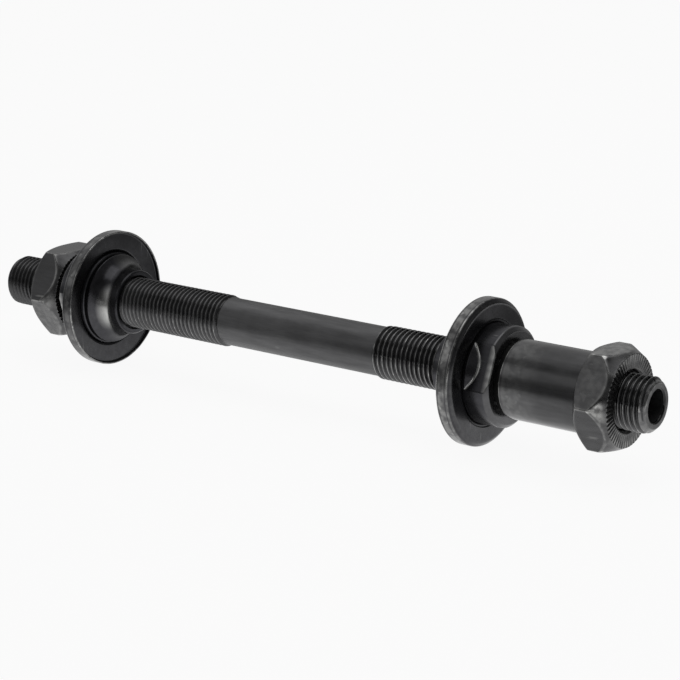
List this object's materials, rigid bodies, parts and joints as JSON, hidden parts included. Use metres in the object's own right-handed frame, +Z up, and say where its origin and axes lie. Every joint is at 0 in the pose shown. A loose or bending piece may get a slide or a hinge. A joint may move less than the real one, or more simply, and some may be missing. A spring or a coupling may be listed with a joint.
{
  "type": "hollow hub axle",
  "caption": "Hollow threaded hub axle with bearing cones, dust caps, a spacer tube and toothed hexagon locknuts, for a quick-release bicycle wheel.",
  "frame": {"origin": "on the axle's axis, half way along its length", "axes": "+Y along the axle towards the left end, with the drive side and its spacer tube at -Y; +Z up, +X towards the front of the bicycle"},
  "size_m": [0.0266, 0.1466, 0.0266],
  "materials": {
    "black_steel": "black oxide, semi-gloss",
    "bearing_steel": "black oxide, polished race",
    "washer_steel": "matte black"
  },
  "bodies": {
    "axle": {"axle": "black_steel"},
    "left_cap": {"left_dust_cap": "black_steel"},
    "left_cone": {"left_cone": "bearing_steel"},
    "left_stack": {"left_washer": "washer_steel"},
    "left_nut": {"left_locknut": "black_steel"},
    "right_cap": {"right_dust_cap": "black_steel"},
    "right_cone": {"right_cone": "bearing_steel"},
    "right_stack": {"right_washer": "washer_steel", "right_spacer": "black_steel"},
    "right_nut": {"right_locknut": "black_steel"}
  },
  "joints": [
    {"name": "left_cone_travel", "type": "slide", "parent": "axle", "child": "left_cap", "axis": [0, 1, 0], "range_m": [-0.023, 0]},
    {"name": "left_cone_turn", "type": "hinge", "parent": "left_cap", "child": "left_cone", "pos_m": [0, 0, 0], "axis": [0, 1, 0], "range_deg": [-8280, 0]},
    {"name": "left_locknut_travel", "type": "slide", "parent": "axle", "child": "left_stack", "axis": [0, 1, 0], "range_m": [0, 0.016]},
    {"name": "left_locknut_turn", "type": "hinge", "parent": "left_stack", "child": "left_nut", "pos_m": [0, 0, 0], "axis": [0, 1, 0], "range_deg": [0, 5760]},
    {"name": "right_cone_travel", "type": "slide", "parent": "axle", "child": "right_cap", "axis": [0, -1, 0], "range_m": [-0.013, 0]},
    {"name": "right_cone_turn", "type": "hinge", "parent": "right_cap", "child": "right_cone", "pos_m": [0, 0, 0], "axis": [0, -1, 0], "range_deg": [-4680, 0]},
    {"name": "right_locknut_travel", "type": "slide", "parent": "axle", "child": "right_stack", "axis": [0, -1, 0], "range_m": [0, 0.01]},
    {"name": "right_locknut_turn", "type": "hinge", "parent": "right_stack", "child": "right_nut", "pos_m": [0, 0, 0], "axis": [0, -1, 0], "range_deg": [0, 3600]}
  ],
  "couplings": [
    {"joint": "left_cone_travel", "follows": "left_cone_turn", "m_per_rad": 0.00015915},
    {"joint": "left_locknut_travel", "follows": "left_locknut_turn", "m_per_rad": 0.00015915},
    {"joint": "right_cone_travel", "follows": "right_cone_turn", "m_per_rad": 0.00015915},
    {"joint": "right_locknut_travel", "follows": "right_locknut_turn", "m_per_rad": 0.00015915}
  ]
}
